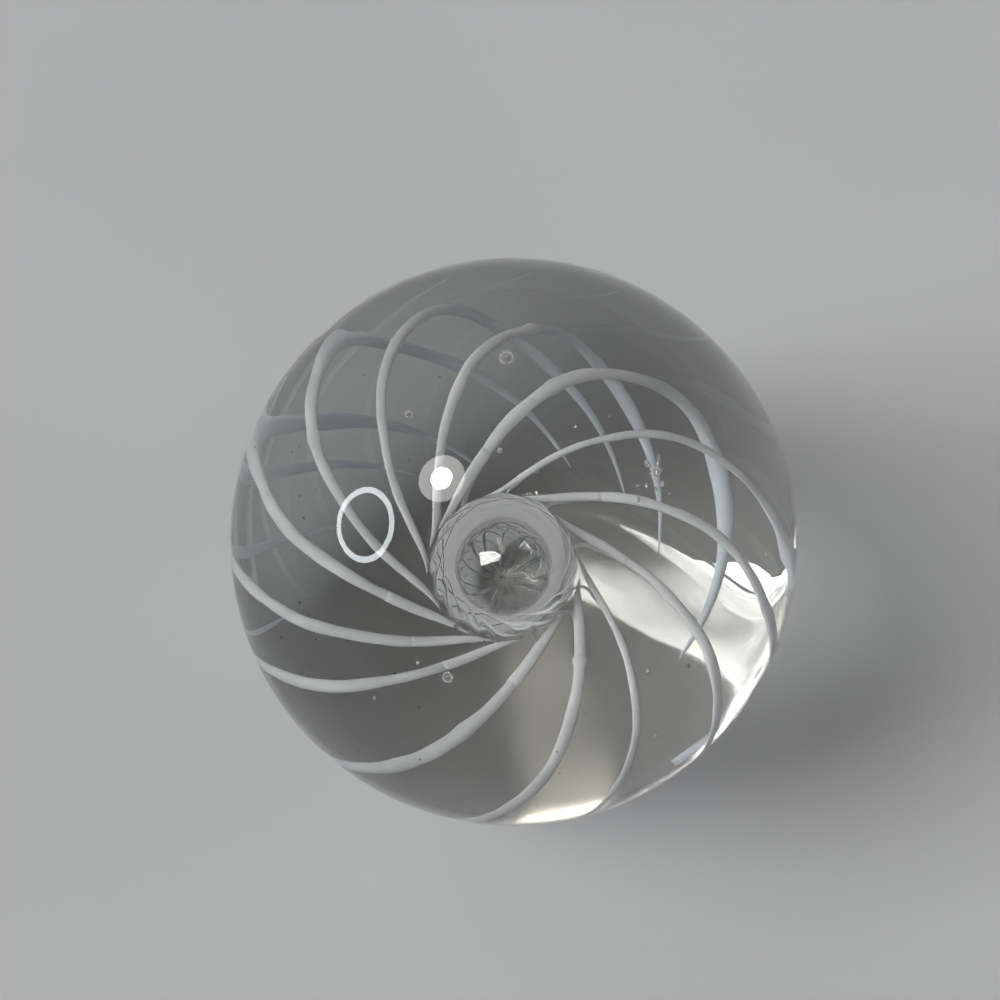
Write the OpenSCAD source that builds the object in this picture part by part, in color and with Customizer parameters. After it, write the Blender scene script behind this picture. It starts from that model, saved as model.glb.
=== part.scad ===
// Solid glass ball paperweight. White glass threads swirl round a bubble of air that is
// trapped in the middle of clear glass, and the ball stands on a ground flat.
// Frame: origin at the centre of the ground flat, +Z up, the front towards -Y.

/* [Ball] */
// Diameter of the clear glass ball
ball_d = 80; // [60:1:110]
// Diameter of the ground flat that the ball stands on
flat_d = 36; // [24:1:48]
// Width of the softened edge round the ground flat
arris = 0.6; // [0.2:0.1:1.5]

/* [Bubble] */
// Diameter of the bubble of air in the middle
bubble_d = 14.4; // [8:0.2:18]
// How far the bubble's centre lies to the right of the ball's centre
bubble_x = -1; // [-4:0.5:4]
// How far the bubble's centre lies behind the ball's centre
bubble_y = -2.5; // [-4:0.5:4]
// How far the bubble's centre lies above the ball's centre
bubble_z = -1; // [-5:0.5:5]
// Depth of the flute that each thread presses into the bubble's wall
flute = 0.3; // [0:0.05:0.5]

/* [Threads] */
// Clear glass between the ball's side and the widest place of the threads' layer
side_cover = 15.1; // [12:0.1:18]
// Clear glass left between the ground flat and the threads' ends, at the least
floor_cover = 5; // [3:0.5:8]
// Height of the layer's nearly flat top above the bubble's centre
layer_top = 0.2; // [0:0.1:4]
// Depth of the layer's widest place below the bubble's centre
layer_waist = 9.5; // [7:0.5:12]
// Depth of the threads' ends below the layer's widest place
layer_belly = 11.5; // [6:0.5:14]
// Thickness of a thread as a share of its own width
thread_flatness = 0.62; // [0.4:0.02:1]
// Clear glass left between the bubble's wall and a thread that passes it
bubble_cover = 0.5; // [0.3:0.1:2]
// Turn of the whole swirl round its axis, in degrees
swirl_start = -65; // [-180:1:180]
// How strongly the threads are twisted, where 1 is the full swirl
swirl = 1; // [0.3:0.05:1.2]
// Lean of the swirl's axis towards the front, in degrees
lean_front = 5; // [0:1:8]
// Lean of the swirl's axis towards the right, in degrees
lean_right = 3; // [0:1:6]

/* [Hidden] */
// Each thread's own drift from its even place in the round, in degrees, going round
// counter-clockwise as seen from above
THREAD_DRIFT = [-8, 0, 0, 2, 5, 9, 10, 10, 5, 0, -2.5, -7, -12];
// How much further than the others each thread is twisted from its crest to its end, in degrees
THREAD_EXTRA_TWIST = [-1.5, 0, 5, 4, -0.5, 1, -1, 4, 1.5, -3.5, 0, -3, 1.5];
// How far each thread bulges out beyond the layer at its crest
THREAD_BULGE = [0.3, 0.1, -0.1, 0.5, 0.1, -0.2, -0.5, 0.2, 1.4, 1.1, -0.3, 0.2, 0.2];
// Width of each thread at its widest
THREAD_WIDTH = [1.5, 1.3, 0.8, 1.1, 1.1, 0.8, 1.4, 1.1, 1.0, 1.1, 1.3, 1.2, 1.2];
THREADS = len(THREAD_DRIFT);

// Small round seeds of air left in the glass: place from the ball's centre, and diameter
SEEDS = [
    [[0, 14, 14], 1.6],
    [[-7, -16, 3.5], 1.2],
    [[-10, 9, 12], 0.9],
    [[-1, 5.5, 10], 0.6],
    [[13, -16, 3], 0.5],
    [[14, -23, 1.5], 0.5],
    [[-10, -15, 5], 0.4],
    [[-14.5, -17.5, 2], 0.4],
];

ball_r = ball_d / 2;
flat_r = flat_d / 2;
bubble_r = bubble_d / 2;
// Height of the ball's centre above the ground flat
ball_z = sqrt(ball_r * ball_r - flat_r * flat_r);
// Distance from the bubble's centre at which a thread's middle line passes its wall
wall_r = bubble_r + bubble_cover + max(THREAD_WIDTH) * thread_flatness / 2;
// Greatest radius of the threads' layer
layer_r = ball_r - side_cover;
// Stretch of the layer from the pit's wall out to its widest place, and from the nearly flat
// top down to there, and from there down to the threads' ends
layer_reach = layer_r - wall_r;
crown = layer_top + layer_waist;
belly = min(layer_belly, ball_z + bubble_z - floor_cover - layer_waist);

// Angles up from the bubble's lowest point of the stations on the pit's wall
PIT = [18, 48, 78];
// The layer's profile, from the pit under the bubble, up the bubble's wall, over the flat
// top, round the waist and in along the underside. Each station is [radius from the swirl's
// axis, height from the bubble's centre, twist in degrees, width as a share of the widest].
LAYER = [
    [wall_r * sin(PIT[0]), -wall_r * cos(PIT[0]), 14, 0.35],
    [wall_r * sin(PIT[1]), -wall_r * cos(PIT[1]), 10, 0.5],
    [wall_r * sin(PIT[2]), -wall_r * cos(PIT[2]), 4, 0.7],
    [wall_r + layer_reach * 0.08, layer_top - 1, -5, 0.8],
    [wall_r + layer_reach * 0.24, layer_top, -17, 0.85],
    [wall_r + layer_reach * 0.48, layer_top - crown * 0.03, -30, 0.9],
    [wall_r + layer_reach * 0.75, layer_top - crown * 0.22, -42, 1],
    [wall_r + layer_reach * 0.92, layer_top - crown * 0.55, -53, 1],
    [layer_r, -layer_waist, -64, 1],
    [layer_r * 0.96, -layer_waist - belly * 0.38, -76, 1],
    [layer_r * 0.84, -layer_waist - belly * 0.66, -94, 0.9],
    [layer_r * 0.66, -layer_waist - belly, -116, 0.6],
];
LAST = len(LAYER) - 1;
// Station at the pit's rim, where the threads start to bulge, and the one at their crest
RIM = 3;
CREST = 7;
// Rings of a thread between one station and the next
RINGS_PER_SPAN = 3;
// Corners of a thread's cross-section
THREAD_SIDES = 6;
// Points of the bubble's wall from one thread to the next, angle from one of its rings to the
// next, and the angle up from its lowest point at which its flutes have faded out
FLUTE_STEPS = 4;
BUBBLE_STEP = 12;
FLUTE_END = 120;

$fn = 96;

// A smooth curve through four neighbouring stations, at share t between the middle two,
// and its direction there.
function between(a, b, c, d, t) =
    b + t * (c - a) / 2 + t * t * (a - 2.5 * b + 2 * c - d / 2)
    + t * t * t * (1.5 * (b - c) + (d - a) / 2);
function heading(a, b, c, d, t) =
    (c - a) / 2 + 2 * t * (a - 2.5 * b + 2 * c - d / 2)
    + 3 * t * t * (1.5 * (b - c) + (d - a) / 2);
function station(k) = LAYER[max(0, min(LAST, k))];
function ring_span(k) = min(LAST - 1, floor(k / RINGS_PER_SPAN));
function ring_share(k) = k / RINGS_PER_SPAN - ring_span(k);
function layer_at(k) = let (s = ring_span(k))
    between(station(s - 1), station(s), station(s + 1), station(s + 2), ring_share(k));
function layer_heading(k) = let (s = ring_span(k))
    heading(station(s - 1), station(s), station(s + 1), station(s + 2), ring_share(k));
function unit(v) = v / norm(v);

// Turn of thread i round the swirl's axis where the layer's twist is as given, at station share u
function thread_turn(i, twist, u) =
    swirl_start + 360 * i / THREADS + THREAD_DRIFT[i]
    + swirl * (twist + THREAD_EXTRA_TWIST[i] * (u - CREST) / (LAST - CREST));

// One ring of thread i: an oval across the thread, broad in the layer and thin through it
function thread_ring(i, k) =
    let (
        at = layer_at(k),
        way = layer_heading(k),
        u = k / RINGS_PER_SPAN,
        bulge = THREAD_BULGE[i] * min(1, max(0, (u - RIM) / (CREST - RIM))),
        turn = thread_turn(i, at[2], u),
        out_dir = [cos(turn), sin(turn), 0],
        round_dir = [-sin(turn), cos(turn), 0],
        middle = (at[0] + bulge) * out_dir + [0, 0, at[1]],
        along = way[0] * out_dir + [0, 0, way[1]]
            + at[0] * swirl * way[2] * PI / 180 * round_dir,
        through = unit([0, 0, way[0]] - way[1] * out_dir),
        across = unit(cross(along, through)),
        half = THREAD_WIDTH[i] * at[3] / 2
    )
    [for (a = [0 : 360 / THREAD_SIDES : 359])
        middle + half * cos(a) * across + half * thread_flatness * sin(a) * through];

// One ring of the bubble, at an angle up from its lowest point. Its wall is fluted under the
// threads, and the flutes follow them up the pit and fade out above the rim.
function bubble_ring(angle) =
    let (
        u = min(RIM, max(0, (angle - PIT[0]) / (PIT[1] - PIT[0]))),
        at = layer_at(u * RINGS_PER_SPAN),
        fade = min(1, max(0, (FLUTE_END - angle) / (FLUTE_END - PIT[2])))
    )
    [for (i = [0 : THREADS - 1], j = [0 : FLUTE_STEPS - 1])
        let (
            this = thread_turn(i, at[2], u),
            next = thread_turn((i + 1) % THREADS, at[2], u) + (i + 1 < THREADS ? 0 : 360),
            turn = this + (next - this) * j / FLUTE_STEPS,
            dent = flute * fade * pow((1 + cos(360 * j / FLUTE_STEPS)) / 2, 2),
            r = bubble_r - dent
        )
        [r * sin(angle) * cos(turn), r * sin(angle) * sin(turn), -r * cos(angle)]];

// Faces of a closed skin over rings of n points each, with flat or pointed ends
function skin_faces(rings, n) = concat(
    [[for (j = [0 : n - 1]) j]],
    [for (k = [0 : rings - 2], j = [0 : n - 1], half = [0, 1])
        let (a = k * n + j, b = k * n + (j + 1) % n)
        half == 0 ? [a, a + n, b] : [b, a + n, b + n]],
    [[for (j = [n - 1 : -1 : 0]) (rings - 1) * n + j]]
);

module swirl_frame() {
    translate([bubble_x, bubble_y, ball_z + bubble_z])
        rotate([lean_front, lean_right, 0])
            children();
}

module thread_solid(i) {
    rings = LAST * RINGS_PER_SPAN + 1;
    swirl_frame()
        polyhedron(
            points = [for (k = [0 : rings - 1]) each thread_ring(i, k)],
            faces = skin_faces(rings, THREAD_SIDES),
            convexity = 6
        );
}

module white_thread(i) {
    color([0.88, 0.88, 0.89]) thread_solid(i);
}

// The ball with its ground flat. The edge of the flat is softened by a cone that slopes
// half as steeply as the ball does there.
module ball_blank() {
    arris_slope = tan(asin(flat_r / ball_r) / 2);
    intersection() {
        translate([0, 0, ball_z])
            sphere(r = ball_r);
        cylinder(h = ball_d, r1 = flat_r - arris, r2 = flat_r - arris + ball_d / arris_slope);
    }
}

// The trapped air, with its lowest and highest points cut off to a very small flat
module bubble() {
    angles = [BUBBLE_STEP / 2 : BUBBLE_STEP : 180 - BUBBLE_STEP / 2];
    swirl_frame()
        polyhedron(
            points = [for (angle = angles) each bubble_ring(angle)],
            faces = skin_faces(len([for (angle = angles) 1]), THREADS * FLUTE_STEPS),
            convexity = 2
        );
}

module seeds() {
    for (seed = SEEDS)
        translate([0, 0, ball_z] + seed[0])
            sphere(d = seed[1]);
}

module clear_glass() {
    color([0.86, 0.9, 0.9, 0.3])
        difference() {
            ball_blank();
            bubble();
            seeds();
            for (i = [0 : THREADS - 1])
                thread_solid(i);
        }
}

clear_glass();
for (i = [0 : THREADS - 1])
    white_thread(i);
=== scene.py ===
"""Looks of a solid glass ball paperweight: a clear glass ball with a bubble of air in its
middle, and white glass threads that swirl round the bubble and are sealed in the ball.

Sizes are in millimetres and angles in degrees. Meshes are put in the frame in metres.
Heights and turns of the swirl are from the bubble's centre, in a frame that leans a little."""

import math

import bpy
import numpy as np
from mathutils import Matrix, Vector


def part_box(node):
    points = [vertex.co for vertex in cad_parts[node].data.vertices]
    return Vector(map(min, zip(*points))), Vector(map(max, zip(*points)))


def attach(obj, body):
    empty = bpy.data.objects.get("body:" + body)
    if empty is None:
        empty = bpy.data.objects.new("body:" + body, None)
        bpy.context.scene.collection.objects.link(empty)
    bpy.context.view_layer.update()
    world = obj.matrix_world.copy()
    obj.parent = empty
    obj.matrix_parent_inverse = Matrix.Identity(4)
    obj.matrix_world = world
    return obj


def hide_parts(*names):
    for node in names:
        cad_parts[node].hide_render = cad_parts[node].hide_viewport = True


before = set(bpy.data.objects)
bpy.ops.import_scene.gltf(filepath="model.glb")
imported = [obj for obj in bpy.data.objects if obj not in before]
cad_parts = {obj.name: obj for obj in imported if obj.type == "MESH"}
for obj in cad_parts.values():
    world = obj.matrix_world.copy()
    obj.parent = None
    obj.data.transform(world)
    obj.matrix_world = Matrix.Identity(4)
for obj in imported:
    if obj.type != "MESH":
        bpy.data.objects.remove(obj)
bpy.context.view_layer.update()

MM = 0.001

# The ball and its ground flat, whose edge is eased by an arris. The frame gives the ball's
# size and its centre's height, and these give the flat's radius.
GLASS_LOW, GLASS_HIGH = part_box("clear_glass")
BALL_R = min(GLASS_HIGH.x - GLASS_LOW.x, GLASS_HIGH.y - GLASS_LOW.y) / 2 / MM
BALL_Z = GLASS_HIGH.z / MM - BALL_R
FLAT_R = math.sqrt(BALL_R**2 - BALL_Z**2)
ARRIS = 0.6

# The trapped bubble, its centre as seen from the ball's centre, and its flutes: their depth,
# and the angles up from the bubble's lowest point between which they fade out
BUBBLE_R = 7.2
BUBBLE_AT = np.array([-1.0, -2.5, -1.0])
FLUTE = 0.3
FLUTE_START = 78.0
FLUTE_END = 120.0

# The swirl of threads round the bubble: the clear glass outside its layer, the layer's top,
# waist and belly as heights, the threads' thickness as a share of their width, the glass
# between the bubble and the threads, the first thread's place, and the swirl's lean
SIDE_COVER = 15.1
LAYER_TOP = 0.2
LAYER_WAIST = 9.5
LAYER_BELLY = 11.5
THREAD_FLATNESS = 0.62
BUBBLE_COVER = 0.5
SWIRL_START = -65.0
LEAN_FRONT = 5.0
LEAN_RIGHT = 3.0

# Each thread, going round counter-clockwise as seen from above: its drift from its even
# place, its extra twist from crest to end, its bulge at the crest, and its width
THREAD_DRIFT = [-8, 0, 0, 2, 5, 9, 10, 10, 5, 0, -2.5, -7, -12]
THREAD_EXTRA_TWIST = [-1.5, 0, 5, 4, -0.5, 1, -1, 4, 1.5, -3.5, 0, -3, 1.5]
THREAD_BULGE = [0.3, 0.1, -0.1, 0.5, 0.1, -0.2, -0.5, 0.2, 1.4, 1.1, -0.3, 0.2, 0.2]
THREAD_WIDTH = [1.5, 1.3, 0.8, 1.1, 1.1, 0.8, 1.4, 1.1, 1.0, 1.1, 1.3, 1.2, 1.2]
THREADS = len(THREAD_DRIFT)

# Small round seeds of air: place from the ball's centre, and diameter
SEEDS = [
    ((0, 14, 14), 1.6),
    ((-7, -16, 3.5), 1.2),
    ((-10, 9, 12), 0.9),
    ((-1, 5.5, 10), 0.6),
    ((13, -16, 3), 0.5),
    ((14, -23, 1.5), 0.5),
    ((-10, -15, 5), 0.4),
    ((-14.5, -17.5, 2), 0.4),
]

# The fine seeds: how many places are tried, the most that are kept, and their diameters with
# the share of each
SEED_TRIES = 400
FINE_SEEDS = 110
FINE_SIZES = [0.16, 0.2, 0.26, 0.34]
FINE_SHARES = [0.35, 0.3, 0.2, 0.15]

# A cluster of tiny crumpled seeds: its middle from the ball's centre, its spread, its count
CLUSTER_AT = np.array([15.0, 1.0, 14.0])
CLUSTER_SPREAD = 1.5
CLUSTER_COUNT = 14

BALL_CENTRE = np.array([0.0, 0.0, BALL_Z])
BUBBLE_CENTRE = BALL_CENTRE + BUBBLE_AT

# The pit's wall that the threads run up: the lowest station on it as an angle up from the
# bubble's lowest point, the step to the next, and the wall's radius. Then the layer's widest
# radius, how far that is from the wall, and the layer's height from its waist to its top
WALL_LOW = 18
WALL_STEP = 30
WALL_R = BUBBLE_R + BUBBLE_COVER + max(THREAD_WIDTH) * THREAD_FLATNESS / 2
LAYER_R = BALL_R - SIDE_COVER
REACH = LAYER_R - WALL_R
CROWN = LAYER_TOP + LAYER_WAIST


def on_wall(angle, twist, share):
    """A station on the pit's wall, at an angle up from the bubble's lowest point."""
    turn = math.radians(angle)
    return [WALL_R * math.sin(turn), -WALL_R * math.cos(turn), twist, share]


# The layer that the threads lie in: stations of [radius from the swirl's axis, height from
# the bubble's centre, twist, width as a share of the widest], from the pit to the underside
LAYER = np.array([
    on_wall(WALL_LOW, 14, 0.35),
    on_wall(WALL_LOW + WALL_STEP, 10, 0.5),
    on_wall(WALL_LOW + 2 * WALL_STEP, 4, 0.7),
    [WALL_R + REACH * 0.08, LAYER_TOP - 1, -5, 0.8],
    [WALL_R + REACH * 0.24, LAYER_TOP, -17, 0.85],
    [WALL_R + REACH * 0.48, LAYER_TOP - CROWN * 0.03, -30, 0.9],
    [WALL_R + REACH * 0.75, LAYER_TOP - CROWN * 0.22, -42, 1],
    [WALL_R + REACH * 0.92, LAYER_TOP - CROWN * 0.55, -53, 1],
    [LAYER_R, -LAYER_WAIST, -64, 1],
    [LAYER_R * 0.96, -LAYER_WAIST - LAYER_BELLY * 0.38, -76, 1],
    [LAYER_R * 0.84, -LAYER_WAIST - LAYER_BELLY * 0.66, -94, 0.9],
    [LAYER_R * 0.66, -LAYER_WAIST - LAYER_BELLY, -116, 0.6],
])
LAST = len(LAYER) - 1
RIM = 3
CREST = 7

# Lumps on the threads: thread, station, and growth in width there
LUMPS = [
    (7, 7.4, 0.45),
    (1, 3.95, 0.4),
    (12, 3.5, 0.3),
    (6, 5.65, 0.25),
    (0, 5.2, 0.15),
    (9, 6.1, 0.2),
]
LUMP_LENGTH = 0.09

# Each thread's foot: the station where it leaves the thread, its turn round the rim, how far
# it sinks, how far inside the wall's line its end lies, how much it swells along its way,
# the share of its breadth that it loses by its end, and the least half of its breadth
FOOT_START = 3.9
FOOT_TURN = [50, 44, 40, 44, 42, 38, 50, 42, 38, 42, 48, 44, 44]
FOOT_DROP = 0.7
FOOT_REACH = 0.7
FOOT_SWELL = 0.15
FOOT_TAPER = 0.45
FOOT_THINNEST = 0.05

# Past its foot a thread gets thinner by this share over this many stations, and its last
# stations draw out to a tip
PIT_THINNING = 0.4
THINNING_LENGTH = 0.9
TIP_LENGTH = 1.6

# Heights above the floor where the threads' glass is full white, and where it is fully greyer and
# bluer:
# partly glass drawn out thin, partly painted shade on the threads' lower parts
WHITE_AT = 31.0
THIN_AND_SHADED_AT = 20.0

# Finish of the clear glass: what it bends light by, and how dull its ground flat is
GLASS_IOR = 1.5
FLAT_DULLNESS = 0.14

# The studio: the floor's side and its gap below the paperweight, and how far off the lamps
# and the cards are
FLOOR_SIZE = 6000
FLOOR_GAP = 0.05
LAMP_DISTANCE = 40000
CARD_DISTANCE = 35000


# ---------------------------------------------------------------- shapes


def mesh_piece(name, points, quads, triangles=()):
    """A mesh object from points in millimetres, four-cornered faces and triangles."""
    faces = [tuple(q) for q in np.asarray(quads).tolist()]
    faces += [tuple(t) for t in np.asarray(triangles).reshape(-1, 3).tolist()]
    mesh = bpy.data.meshes.new(name)
    mesh.from_pydata((np.asarray(points) * MM).tolist(), [], faces)
    mesh.update()
    mesh.shade_smooth()
    piece = bpy.data.objects.new(name, mesh)
    bpy.context.scene.collection.objects.link(piece)
    return piece


def ring_quads(rings, count):
    """Faces between neighbouring rings of a skin, each ring closed on itself."""
    ring, step = np.meshgrid(np.arange(rings - 1), np.arange(count), indexing="ij")
    after = (step + 1) % count
    corners = [ring * count + step, ring * count + after,
               (ring + 1) * count + after, (ring + 1) * count + step]
    return np.stack(corners, -1).reshape(-1, 4)


def closed_skin(rings, tail, head):
    """Points, quads and triangles of a closed skin. Rings is an array of rings of points, and
    tail and head are the points that close it before the first ring and after the last."""
    count = rings.shape[1]
    points = np.concatenate([rings.reshape(-1, 3), [tail], [head]])
    step = np.arange(count)
    after = (step + 1) % count
    top = (len(rings) - 1) * count
    tail_fan = np.stack([after, step, np.full(count, len(points) - 2)], -1)
    head_fan = np.stack([top + step, top + after, np.full(count, len(points) - 1)], -1)
    return points, ring_quads(len(rings), count), np.concatenate([tail_fan, head_fan])


def join_skins(skins):
    """Several closed skins as one set of points, quads and triangles."""
    starts = np.cumsum([0] + [len(points) for points, _, _ in skins[:-1]])
    points = np.concatenate([skin[0] for skin in skins])
    quads = np.concatenate([skin[1] + start for skin, start in zip(skins, starts)])
    triangles = np.concatenate([skin[2] + start for skin, start in zip(skins, starts)])
    return points, quads, triangles


def turned_inside_out(skin):
    """The same skin with its faces pointing the other way, for a hollow."""
    points, quads, triangles = skin
    return points, quads[:, ::-1], triangles[:, ::-1]


def smooth_curve(stations, steps):
    """Catmull-Rom curve through the stations: at share t between b and c it is
    b + t (c - a)/2 + t^2 (a - 5b/2 + 2c - d/2) + t^3 (3(b - c) + d - a)/2.
    Gives the points and the station number of each."""
    u = np.linspace(0, len(stations) - 1, (len(stations) - 1) * steps + 1)
    span = np.minimum(u.astype(int), len(stations) - 2)
    t = (u - span)[:, None]
    a = stations[np.maximum(span - 1, 0)]
    b = stations[span]
    c = stations[span + 1]
    d = stations[np.minimum(span + 2, len(stations) - 1)]
    curve = b + t * (c - a) / 2 + t**2 * (a - 2.5 * b + 2 * c - d / 2)
    return curve + t**3 * (1.5 * (b - c) + (d - a) / 2), u


def swirl_frame(points):
    """Leans points of the swirl to the front and to the right about the bubble's centre, and
    puts them in the ball."""
    front, right = math.radians(LEAN_FRONT), math.radians(LEAN_RIGHT)
    about_x = np.array([[1, 0, 0],
                        [0, math.cos(front), -math.sin(front)],
                        [0, math.sin(front), math.cos(front)]])
    about_y = np.array([[math.cos(right), 0, math.sin(right)],
                        [0, 1, 0],
                        [-math.sin(right), 0, math.cos(right)]])
    return points @ (about_y @ about_x).T + BUBBLE_CENTRE


def thread_turn(i, twist, u):
    """Angle of thread i round the swirl's axis at station u: its even place, its drift, the
    layer's twist, and its extra twist times (u - CREST)/(LAST - CREST)."""
    even = SWIRL_START + 360 * i / THREADS + THREAD_DRIFT[i]
    return even + twist + THREAD_EXTRA_TWIST[i] * (u - CREST) / (LAST - CREST)


def ball_profile():
    """Radius and height of the ball's outline, from the flat's middle to near the top. The
    flat is at height 0. The arc has radius BALL_R sin a and height BALL_Z - BALL_R cos a. The
    arris between them is (1 - t)^2 first + 2t (1 - t) corner + t^2 second, from the flat's
    last point to the arc's first."""
    slope = math.asin(FLAT_R / BALL_R)
    flat = [(r, 0.0) for r in np.linspace(0.6, FLAT_R - 1.6 * ARRIS, 12)]
    lead_in = [(FLAT_R - 1.15 * ARRIS, 0.0)]
    arc = np.radians(np.linspace(math.degrees(slope) + 0.9, 179.2, 170))
    ball = [(BALL_R * math.sin(a), BALL_Z - BALL_R * math.cos(a)) for a in arc]
    first, second = np.array(lead_in[0]), np.array(ball[0])
    corner = np.array([FLAT_R - 0.1 * ARRIS, 0.0])
    t = np.linspace(0, 1, 8)[1:-1, None]
    arris = (1 - t)**2 * first + 2 * t * (1 - t) * corner + t**2 * second
    return np.array(flat + lead_in + arris.tolist() + ball)


def ball_skin(count=288):
    """The ball's outline turned about the upright axis: its radius times the cosine and the
    sine of the turn."""
    profile = ball_profile()
    turn = np.linspace(0, 2 * np.pi, count, endpoint=False)
    rings = np.stack([
        profile[:, :1] * np.cos(turn),
        profile[:, :1] * np.sin(turn),
        np.broadcast_to(profile[:, 1:], (len(profile), count)),
    ], -1)
    top = [0, 0, BALL_Z + BALL_R]
    return closed_skin(rings, [0, 0, 0], top)


def bubble_skin(rings=96, steps=16):
    """The bubble: a ball of radius BUBBLE_R less FLUTE times ((1 + cos f)/2)^2, where f goes
    once round from one thread to the next. The flutes follow the threads' twist up the pit
    and fade out from FLUTE_START to FLUTE_END."""
    angle = np.linspace(1, 179, rings)
    u = np.clip((angle - WALL_LOW) / WALL_STEP, 0, RIM)
    curve, at = smooth_curve(LAYER, 20)
    twist = np.interp(u, at, curve[:, 2])
    turns = np.stack([thread_turn(i, twist, u) for i in range(THREADS)], -1)
    gaps = np.diff(np.concatenate([turns, turns[:, :1] + 360], 1), axis=1)
    share = np.arange(steps) / steps
    turn = np.radians(turns[..., None] + gaps[..., None] * share).reshape(rings, -1)
    fade = np.clip((FLUTE_END - angle) / (FLUTE_END - FLUTE_START), 0, 1)[:, None]
    dent = np.tile(((1 + np.cos(2 * np.pi * share)) / 2)**2, THREADS)
    r = BUBBLE_R - FLUTE * fade * dent
    tilt = np.radians(angle)[:, None]
    rings_of_points = np.stack([
        r * np.sin(tilt) * np.cos(turn),
        r * np.sin(tilt) * np.sin(turn),
        -r * np.cos(tilt),
    ], -1)
    low, high = np.array([0, 0, -BUBBLE_R]), np.array([0, 0, BUBBLE_R])
    return closed_skin(swirl_frame(rings_of_points), swirl_frame(low), swirl_frame(high))


def fine_seeds():
    """Places from the ball's centre, diameters and stretches of the fine seeds that are strewn
    through the outer glass, 3 or more clear of the threads' layer and 2 of the ball's skin,
    and of those in the cluster. Their distance from the ball's centre is BALL_R times the
    cube root of a random share, which strews them evenly."""
    dice = np.random.default_rng(7)
    cluster = CLUSTER_AT + CLUSTER_SPREAD * dice.normal(size=(CLUSTER_COUNT, 3)).clip(-1.5, 1.5)
    way = dice.normal(size=(SEED_TRIES, 3))
    way /= np.linalg.norm(way, axis=1)[:, None]
    reach = BALL_R * dice.uniform(0.3, 1, SEED_TRIES)**(1 / 3)
    place = way * reach[:, None]
    axis_gap = np.hypot(place[:, 0], place[:, 1])
    above_layer = (place[:, 2] > 3) & (reach > BUBBLE_R + 4)
    outside_layer = axis_gap > LAYER_R + 3
    keep = (above_layer | outside_layer) & (reach < BALL_R - 2) & (place[:, 2] > -20)
    size = dice.choice(FINE_SIZES, SEED_TRIES, p=FINE_SHARES)
    place = np.concatenate([place[keep][:FINE_SEEDS], cluster])
    size = np.concatenate([size[keep][:FINE_SEEDS], dice.uniform(0.3, 0.7, CLUSTER_COUNT)])
    stretch = dice.uniform(0.5, 1.7, (len(place), 3))
    return zip(place, size, stretch)


def seed_skin(place, diameter, count=20, stretch=(1, 1, 1)):
    """A seed of air, round or stretched along the ball's axes: r times sin t cos p, sin t sin
    p and -cos t, each times its stretch."""
    r = diameter / 2
    tilt = np.radians(np.linspace(6, 174, count // 2 + 1))[:, None]
    turn = np.linspace(0, 2 * np.pi, count, endpoint=False)
    rings = np.stack([
        r * np.sin(tilt) * np.cos(turn),
        r * np.sin(tilt) * np.sin(turn),
        -r * np.cos(tilt) * np.ones(count),
    ], -1)
    middle = BALL_CENTRE + np.array(place)
    pole = np.array([0, 0, r * stretch[2]])
    return closed_skin(rings * stretch + middle, middle - pole, middle + pole)


def glass_ball():
    """The clear glass: the ball's outside, and the bubble and the seeds as hollows in it."""
    hollows = [bubble_skin()] + [seed_skin(place, diameter) for place, diameter in SEEDS]
    hollows += [seed_skin(place, size, 10, stretch) for place, size, stretch in fine_seeds()]
    skins = [ball_skin()] + [turned_inside_out(hollow) for hollow in hollows]
    return mesh_piece("glass_ball", *join_skins(skins))


def swept_oval(middle, half, upward, sides=18):
    """An oval carried along a path of points: middle + half (cos a across + THREAD_FLATNESS
    sin a through). Half is half its breadth at each point, through is the direction upward
    made square to the path, and across is square to both."""
    along = np.gradient(middle, axis=0)
    across = np.cross(along, upward)
    across /= np.linalg.norm(across, axis=1)[:, None]
    through = np.cross(across, along)
    through /= np.linalg.norm(through, axis=1)[:, None]
    angle = np.linspace(0, 2 * np.pi, sides, endpoint=False)[None, :, None]
    rings = middle[:, None] + half[:, None, None] * (
        np.cos(angle) * across[:, None] + THREAD_FLATNESS * np.sin(angle) * through[:, None]
    )
    ends = middle[0] - 0.2 * along[0], middle[-1] + 0.2 * along[-1]
    return closed_skin(swirl_frame(rings), swirl_frame(ends[0]), swirl_frame(ends[1]))


def thread_path(i, curve, u):
    """Middle line of thread i, at the layer's radius and height and the thread's own turn, and
    the direction through the layer along it. The thread's bulge adds to the radius, from
    nothing at the rim to all of it at the crest."""
    radius, height, twist, _ = curve.T
    bulge = THREAD_BULGE[i] * np.clip((u - RIM) / (CREST - RIM), 0, 1)
    turn = np.radians(thread_turn(i, twist, u))
    middle = np.stack([
        (radius + bulge) * np.cos(turn),
        (radius + bulge) * np.sin(turn),
        height,
    ], -1)
    out_step, up_step = np.gradient(radius), np.gradient(height)
    through = np.stack([-up_step * np.cos(turn), -up_step * np.sin(turn), out_step], -1)
    return middle, through


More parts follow.
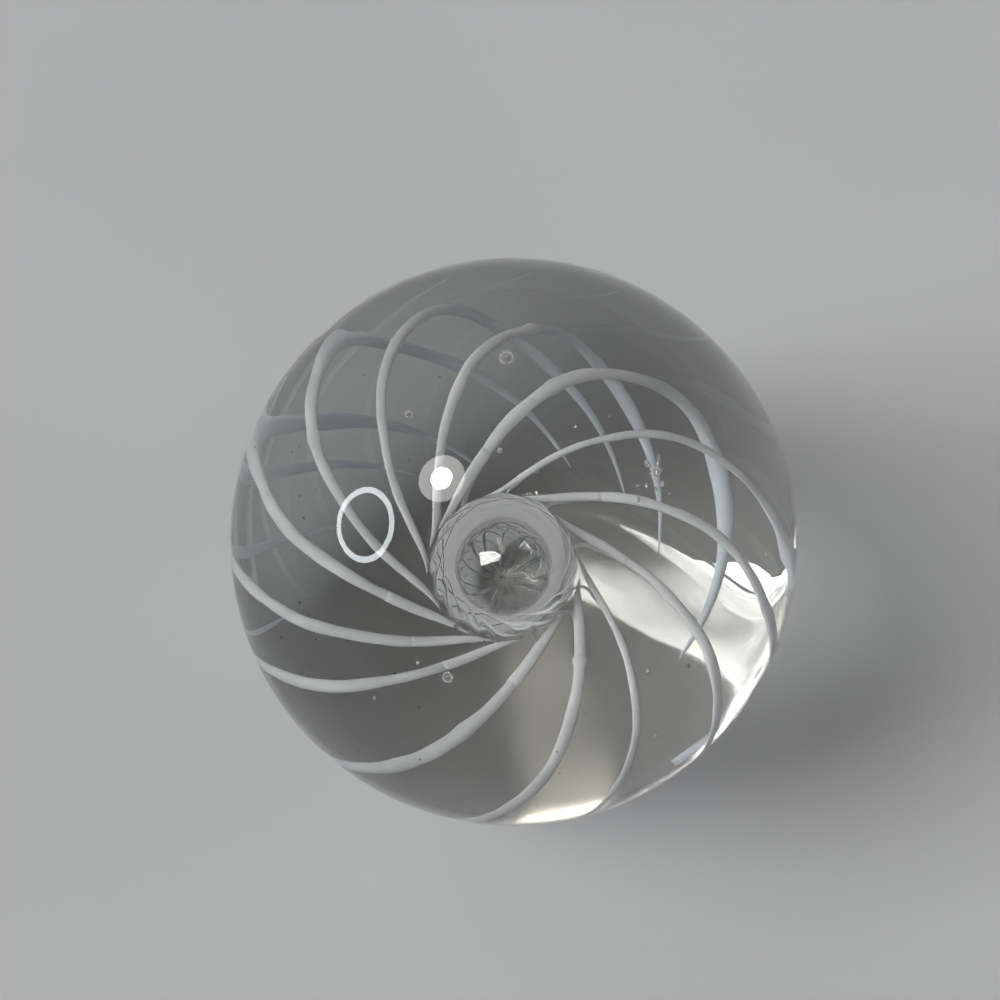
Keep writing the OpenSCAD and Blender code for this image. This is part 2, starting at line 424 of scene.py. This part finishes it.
def thread_skin(i, steps=14):
    """White thread i: an oval carried along the layer's curve, broad in the layer and thin
    through it. Its breadth is THREAD_WIDTH times the layer's share and times a swell: 1 and
    three sine waves of station u, and for each lump its growth times e^-((u - at)/length)^2.
    The swell falls by PIT_THINNING past the foot, and at the tip with the square root of
    what is left of it."""
    curve, u = smooth_curve(LAYER, steps)
    middle, through = thread_path(i, curve, u)
    dice = np.random.default_rng(40 + i)
    phases = dice.uniform(0, 2 * np.pi, 3)
    swell = 1 + 0.07 * np.sin(1.7 * u + phases[0]) + 0.05 * np.sin(4.3 * u + phases[1])
    swell += 0.03 * np.sin(9.1 * u + phases[2])
    for thread, at, growth in LUMPS:
        if thread == i:
            swell += growth * np.exp(-((u - at) / LUMP_LENGTH)**2)
    swell *= 1 - PIT_THINNING * np.clip((FOOT_START - u) / THINNING_LENGTH, 0, 1)
    swell *= np.sqrt(np.clip((LAST - u) / TIP_LENGTH, 0.02, 1))
    return swept_oval(middle, THREAD_WIDTH[i] * curve[:, 3] / 2 * swell, through)


def foot_skin(i, steps=24):
    """The foot of thread i: where the thread turns down into the pit, part of its glass runs on
    round the pit's rim. At share t of its way it has turned by FOOT_TURN t and sunk by
    FOOT_DROP t^1.4, its radius from the axis is end + (first - end)(1 - t)^2.4, and its
    breadth is the thread's times (1 + FOOT_SWELL sin(pi t))(1 - t^3)^0.5 (1 - FOOT_TAPER t)."""
    curve, u = smooth_curve(LAYER, 20)
    start = np.argmin(np.abs(u - FOOT_START))
    middle, _ = thread_path(i, curve, u)
    first = middle[start]
    t = np.linspace(0, 1, steps)
    radius = math.hypot(first[0], first[1])
    angle = math.atan2(first[1], first[0]) + np.radians(FOOT_TURN[i]) * t
    end = WALL_R - FOOT_REACH
    close = end + (radius - end) * (1 - t)**2.4
    path = np.stack([
        close * np.cos(angle),
        close * np.sin(angle),
        first[2] - FOOT_DROP * t**1.4,
    ], -1)
    share = np.interp(FOOT_START, u, curve[:, 3])
    breadth = THREAD_WIDTH[i] * share * (1 + FOOT_SWELL * np.sin(np.pi * t))
    breadth *= np.sqrt(1 - t**3) * (1 - FOOT_TAPER * t)
    upward = np.stack([-np.cos(angle) * t, -np.sin(angle) * t, np.ones(steps)], -1)
    return swept_oval(path, np.maximum(breadth / 2, FOOT_THINNEST), upward)


def thread_piece(i):
    """White thread i with its foot."""
    return mesh_piece(f"thread_{i + 1}", *join_skins([thread_skin(i), foot_skin(i)]))


# ---------------------------------------------------------------- finishes


def new_material(name):
    """A material with only its output and a Principled shader, and its node tree."""
    material = bpy.data.materials.new(name)
    material.use_nodes = True
    tree = material.node_tree
    return material, tree, tree.nodes["Principled BSDF"]


def maths(tree, operation, first, second):
    """The sum, difference, product or greater of two values or numbers, as the operation says."""
    node = tree.nodes.new("ShaderNodeMath")
    node.operation = operation
    for socket, value in zip(node.inputs, (first, second)):
        if isinstance(value, (int, float)):
            socket.default_value = value
        else:
            tree.links.new(value, socket)
    return node.outputs["Value"]


def blend(tree, share, first, second):
    """The first colour where the share is 0 and the second where it is 1. The second may be a
    plain colour."""
    mix = tree.nodes.new("ShaderNodeMixRGB")
    tree.links.new(share, mix.inputs["Fac"])
    tree.links.new(first, mix.inputs["Color1"])
    if isinstance(second, tuple):
        mix.inputs["Color2"].default_value = (*second, 1)
    else:
        tree.links.new(second, mix.inputs["Color2"])
    return mix.outputs["Color"]


def height_in_piece(tree):
    """Height in the piece's own space, in metres above the floor."""
    place = tree.nodes.new("ShaderNodeTexCoord")
    split = tree.nodes.new("ShaderNodeSeparateXYZ")
    tree.links.new(place.outputs["Object"], split.inputs["Vector"])
    return split.outputs["Z"]


def object_noise(tree, scale, detail, stretch=(1, 1, 1)):
    """Noise through the piece's own space, stretched along its axes. Gives its output."""
    place = tree.nodes.new("ShaderNodeTexCoord")
    mapping = tree.nodes.new("ShaderNodeMapping")
    mapping.inputs["Scale"].default_value = stretch
    noise = tree.nodes.new("ShaderNodeTexNoise")
    noise.inputs["Scale"].default_value = scale
    noise.inputs["Detail"].default_value = detail
    tree.links.new(place.outputs["Object"], mapping.inputs["Vector"])
    tree.links.new(mapping.outputs["Vector"], noise.inputs["Vector"])
    return noise.outputs["Fac"]


def colour_by(tree, value, low, high):
    """A colour that goes from low to high as a value goes from 0.3 to 0.7."""
    ramp = tree.nodes.new("ShaderNodeValToRGB")
    ramp.color_ramp.elements[0].position = 0.3
    ramp.color_ramp.elements[0].color = (*low, 1)
    ramp.color_ramp.elements[1].position = 0.7
    ramp.color_ramp.elements[1].color = (*high, 1)
    tree.links.new(value, ramp.inputs["Fac"])
    return ramp.outputs["Color"]


def range_by(tree, value, from_low, from_high, low, high):
    """A number that goes from low to high as a value goes over its range."""
    node = tree.nodes.new("ShaderNodeMapRange")
    node.inputs["From Min"].default_value = from_low
    node.inputs["From Max"].default_value = from_high
    node.inputs["To Min"].default_value = low
    node.inputs["To Max"].default_value = high
    tree.links.new(value, node.inputs["Value"])
    return node.outputs["Result"]


def bump_by(tree, value, shader, strength, distance):
    """Bumps that follow a value."""
    bump = tree.nodes.new("ShaderNodeBump")
    bump.inputs["Strength"].default_value = strength
    bump.inputs["Distance"].default_value = distance
    tree.links.new(value, bump.inputs["Height"])
    tree.links.new(bump.outputs["Normal"], shader.inputs["Normal"])


def clear_glass():
    """Polished colourless glass: faint cords from the gather that bend the view a little, a
    hardly seen tint that drifts through it, faint smudges, and a duller ground flat."""
    material, tree, shader = new_material("clear_glass")
    tint = colour_by(tree, object_noise(tree, 22, 2), (0.74, 0.75, 0.725), (0.8, 0.805, 0.79))
    tree.links.new(tint, shader.inputs["Base Color"])
    smudge = range_by(tree, object_noise(tree, 60, 4), 0.45, 0.75, 0.0, 0.03)
    flat = range_by(tree, height_in_piece(tree), 0.0001, 0.0003, FLAT_DULLNESS, 0.0)
    tree.links.new(maths(tree, "ADD", smudge, flat), shader.inputs["Roughness"])
    bump_by(tree, object_noise(tree, 45, 1, (1, 1, 2.5)), shader, 0.25, 0.0002)
    shader.inputs["IOR"].default_value = GLASS_IOR
    shader.inputs["Transmission Weight"].default_value = 1.0
    return material


def white_glass():
    """Milky white glass, a little greyer in places and finely pitted, that turns greyer and
    bluer on the way down: partly where it is drawn out thin, partly painted shade on the
    threads' lower parts."""
    material, tree, shader = new_material("white_glass")
    cloud = object_noise(tree, 260, 3)
    shade = colour_by(tree, cloud, (0.62, 0.63, 0.65), (0.74, 0.74, 0.75))
    # Painted shade: lower down the threads turn greyer and bluer, partly for glass drawn thin and
    # partly for shade
    thin_and_shaded = range_by(tree, height_in_piece(tree), THIN_AND_SHADED_AT * MM, WHITE_AT * MM, 1.0, 0.0)
    tree.links.new(blend(tree, thin_and_shaded, shade, (0.6, 0.64, 0.7)), shader.inputs["Base Color"])
    roughness = range_by(tree, object_noise(tree, 600, 2), 0.3, 0.7, 0.45, 0.65)
    tree.links.new(roughness, shader.inputs["Roughness"])
    bump_by(tree, object_noise(tree, 900, 2), shader, 0.2, 0.0001)
    shader.inputs["Specular IOR Level"].default_value = 0.0
    return material


def pale_floor():
    """Plain pale grey studio floor, hardly uneven. It is darker for light that has already come
    off a dull surface, so that it gives the glass and the threads little light from below."""
    material, tree, shader = new_material("pale_floor")
    shade = colour_by(tree, object_noise(tree, 12, 3), (0.435, 0.435, 0.44), (0.45, 0.45, 0.455))
    path = tree.nodes.new("ShaderNodeLightPath")
    again = range_by(tree, path.outputs["Diffuse Depth"], 0.4, 0.6, 0.0, 1.0)
    tree.links.new(blend(tree, again, shade, (0.15, 0.15, 0.15)), shader.inputs["Base Color"])
    shader.inputs["Roughness"].default_value = 0.9
    shader.inputs["Specular IOR Level"].default_value = 0.2
    return material


def straight_through_glass(tree):
    """1 for what is seen through glass with no dull surface on the way, and 0 for the rest."""
    path = tree.nodes.new("ShaderNodeLightPath")
    clean = range_by(tree, path.outputs["Diffuse Depth"], 0.4, 0.6, 1.0, 0.0)
    return maths(tree, "MULTIPLY", path.outputs["Is Transmission Ray"], clean)


def glow(name, colour, strength, there=None, uneven=0):
    """A bright face, of a lamp or of a card of painted light. There is a recipe for how much
    of it is there: in its tree it gives a value that is 1 where the face is there and 0 where
    it is clear. Uneven is the share of its strength that clouds take from it in places."""
    material = bpy.data.materials.new(name)
    material.use_nodes = True
    tree = material.node_tree
    tree.nodes.clear()
    output = tree.nodes.new("ShaderNodeOutputMaterial")
    emission = tree.nodes.new("ShaderNodeEmission")
    emission.inputs["Color"].default_value = (*colour, 1)
    emission.inputs["Strength"].default_value = strength
    if uneven > 0:
        clouds = object_noise(tree, 0.35, 3)
        power = range_by(tree, clouds, 0.35, 0.6, strength * (1 - uneven), strength)
        tree.links.new(power, emission.inputs["Strength"])
    if there is None:
        tree.links.new(emission.outputs["Emission"], output.inputs["Surface"])
        return material
    clear = tree.nodes.new("ShaderNodeBsdfTransparent")
    mix = tree.nodes.new("ShaderNodeMixShader")
    tree.links.new(there(tree), mix.inputs["Fac"])
    tree.links.new(clear.outputs["BSDF"], mix.inputs[1])
    tree.links.new(emission.outputs["Emission"], mix.inputs[2])
    tree.links.new(mix.outputs["Shader"], output.inputs["Surface"])
    return material


def lamp_glow(name, colour, strength):
    """A lamp face that lights, and isn't seen straight through the glass."""
    return glow(name, colour, strength,
                lambda tree: maths(tree, "SUBTRACT", 1, straight_through_glass(tree)))


# ---------------------------------------------------------------- the paperweight

ball = glass_ball()
ball.data.materials.append(clear_glass())
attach(ball, "root")
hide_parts("clear_glass")

white = white_glass()
for i in range(THREADS):
    thread = thread_piece(i)
    thread.data.materials.append(white)
    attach(thread, "root")
    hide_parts(f"white_thread_{i + 1}")


# ---------------------------------------------------------------- studio

def studio_floor():
    """A flat square of floor, a hair below the paperweight."""
    half = FLOOR_SIZE / 2
    corners = [(-half, -half, -FLOOR_GAP), (half, -half, -FLOOR_GAP),
               (half, half, -FLOOR_GAP), (-half, half, -FLOOR_GAP)]
    floor = mesh_piece("studio_floor", corners, [[0, 1, 2, 3]])
    floor.data.materials.append(pale_floor())


def heading(azimuth, height):
    """The direction at an azimuth round from the right-hand side, and a height above the
    floor."""
    turn, rise = math.radians(azimuth), math.radians(height)
    return math.cos(rise) * math.cos(turn), math.cos(rise) * math.sin(turn), math.sin(rise)


def lamp_face(name, direction, outer, inner, finish, count=96):
    """A round or ring-shaped lamp face that looks at the ball from a direction. Outer and
    inner are its radii as angles seen from the ball."""
    facing = np.array(direction) / np.linalg.norm(direction)
    side = np.cross([0, 0, 1], facing)
    side /= np.linalg.norm(side)
    up = np.cross(facing, side)
    turn = np.linspace(0, 2 * np.pi, count, endpoint=False)[:, None]
    circle = np.cos(turn) * side + np.sin(turn) * up
    middle = BALL_CENTRE + LAMP_DISTANCE * facing
    outer_r = LAMP_DISTANCE * math.tan(math.radians(outer))
    inner_r = LAMP_DISTANCE * math.tan(math.radians(inner))
    points = np.concatenate([middle + inner_r * circle, middle + outer_r * circle])
    face = mesh_piece(name, points, ring_quads(2, count)[:, ::-1])
    face.data.materials.append(finish)
    face.visible_camera = False
    return face


def painted_patch_card(name, corners, colour, strength):
    """A bright card of painted light: it is only seen deep in the glass, mirrored in the ground
    flat or in the bubble, where its glow stands in for bright patches of light that the ball
    focuses. It lights nothing. Its corners are the sideways and backward shares of their
    directions from the ball, and each is as far up as makes its direction 1 long."""
    across = np.array(corners)
    rise = np.sqrt(1 - (across**2).sum(1))
    points = BALL_CENTRE + CARD_DISTANCE * np.column_stack([across, rise])
    card = mesh_piece(name, points, np.arange(len(points))[None, ::-1])
    # Painted highlight: the card's glow, mottled by clouds, is seen only through the glass
    card.data.materials.append(glow(name, colour, strength, straight_through_glass, 0.4))
    card.visible_camera = False
    card.visible_glossy = False
    card.visible_diffuse = False
    card.visible_shadow = False


def soft_lamp(name, azimuth, height, radius, colour, floor_light):
    """A lamp that lights, and isn't mirrored in the glass. Floor light is what it gives the
    floor, and its face is as bright as that takes: floor light over the face's size as seen
    from the ball and over the sine of its height."""
    size = math.pi * math.tan(math.radians(radius))**2 * math.sin(math.radians(height))
    finish = lamp_glow(name, colour, floor_light / size)
    face = lamp_face(name, heading(azimuth, height), radius, 0.02, finish)
    face.visible_glossy = False


def mirrored_lamp(name, direction, outer, inner, colour, strength):
    """A lamp face that is only seen mirrored in the glass."""
    face = lamp_face(name, direction, outer, inner, glow(name, colour, strength))
    face.visible_diffuse = False
    face.visible_transmission = False
    face.visible_shadow = False


studio_floor()
soft_lamp("key_lamp", 198, 74, 5, (1, 0.97, 0.9), 0.15)
soft_lamp("top_lamp", 185, 70, 8, (1, 0.96, 0.88), 0.1)
soft_lamp("side_lamp", 180, 45, 15, (1, 1, 0.99), 1.5)
soft_lamp("back_lamp", 135, 45, 15, (0.98, 0.99, 1), 0.3)
soft_lamp("low_lamp", 186, 25, 14, (0.93, 0.97, 1), 0.95)
soft_lamp("fill_lamp_right", 0, 18, 14, (1, 1, 1), 0.22)
soft_lamp("fill_lamp_front", 290, 18, 14, (1, 1, 1), 0.13)
mirrored_lamp("round_lamp", heading(173.5, 65), 4, 0.04, (1, 0.98, 0.95), 43)
mirrored_lamp("round_lamp_glow", heading(173.5, 65), 8.5, 4, (1, 0.98, 0.95), 7)
mirrored_lamp("ring_lamp", heading(187, 33), 12.4, 10.4, (0.88, 0.97, 1), 14)

# Painted highlights: a white and a cream card, seen only in the glass, stand in for the bright
# patches of light that the ball focuses
painted_patch_card("painted_white_patch", [
    (-0.11, -0.17),
    (-0.06, -0.02),
    (-0.2, 0.08),
    (-0.35, 0.12),
    (-0.6, 0.14),
    (-0.6, -0.23),
], (1, 0.98, 0.94), 36)
painted_patch_card("painted_cream_patch", [
    (0.05, 0.0),
    (-0.05, 0.02),
    (-0.17, 0.47),
    (-0.03, 0.47),
], (1, 0.91, 0.76), 6)


def sky_ramp(tree, low, low_colour, high, high_colour):
    """A sky from its colour up to one height to its colour above another."""
    way = tree.nodes.new("ShaderNodeTexCoord")
    split = tree.nodes.new("ShaderNodeSeparateXYZ")
    ramp = tree.nodes.new("ShaderNodeValToRGB")
    ramp.color_ramp.elements[0].position = low
    ramp.color_ramp.elements[0].color = (*low_colour, 1)
    ramp.color_ramp.elements[1].position = high
    ramp.color_ramp.elements[1].color = (*high_colour, 1)
    tree.links.new(way.outputs["Generated"], split.inputs["Vector"])
    tree.links.new(split.outputs["Z"], ramp.inputs["Fac"])
    return ramp.outputs["Color"]


def studio_world():
    """A dim sky that lights, and a pale backdrop in its place for the camera and for what is
    seen straight through the glass."""
    world = bpy.data.worlds.new("studio")
    world.use_nodes = True
    tree = world.node_tree
    light_sky = sky_ramp(tree, 0.1, (0.3, 0.3, 0.3), 0.35, (0.04, 0.04, 0.045))
    backdrop = sky_ramp(tree, 0.3, (0.42, 0.42, 0.43), 0.65, (0.05, 0.05, 0.055))
    path = tree.nodes.new("ShaderNodeLightPath")
    seen = maths(tree, "MAXIMUM", path.outputs["Is Camera Ray"], straight_through_glass(tree))
    background = tree.nodes["Background"]
    tree.links.new(blend(tree, seen, light_sky, backdrop), background.inputs["Color"])
    background.inputs["Strength"].default_value = 1.0
    return world


scene = bpy.context.scene
scene.world = studio_world()

camera_data = bpy.data.cameras.new("camera")
camera_data.sensor_width = 36
camera_data.lens = 36
camera_data.clip_start = 0.005
camera = bpy.data.objects.new("camera", camera_data)
scene.collection.objects.link(camera)
camera.location = Vector((0, -54.3, 136.1 + BALL_Z)) * MM
camera.rotation_euler = [math.radians(angle) for angle in (23.96, 1.42, -1.56)]
bpy.context.scene.camera = camera

scene.view_settings.view_transform = "Standard"
scene.cycles.sample_clamp_indirect = 0
scene.cycles.max_bounces = 14
scene.cycles.transmission_bounces = 14
scene.cycles.glossy_bounces = 6
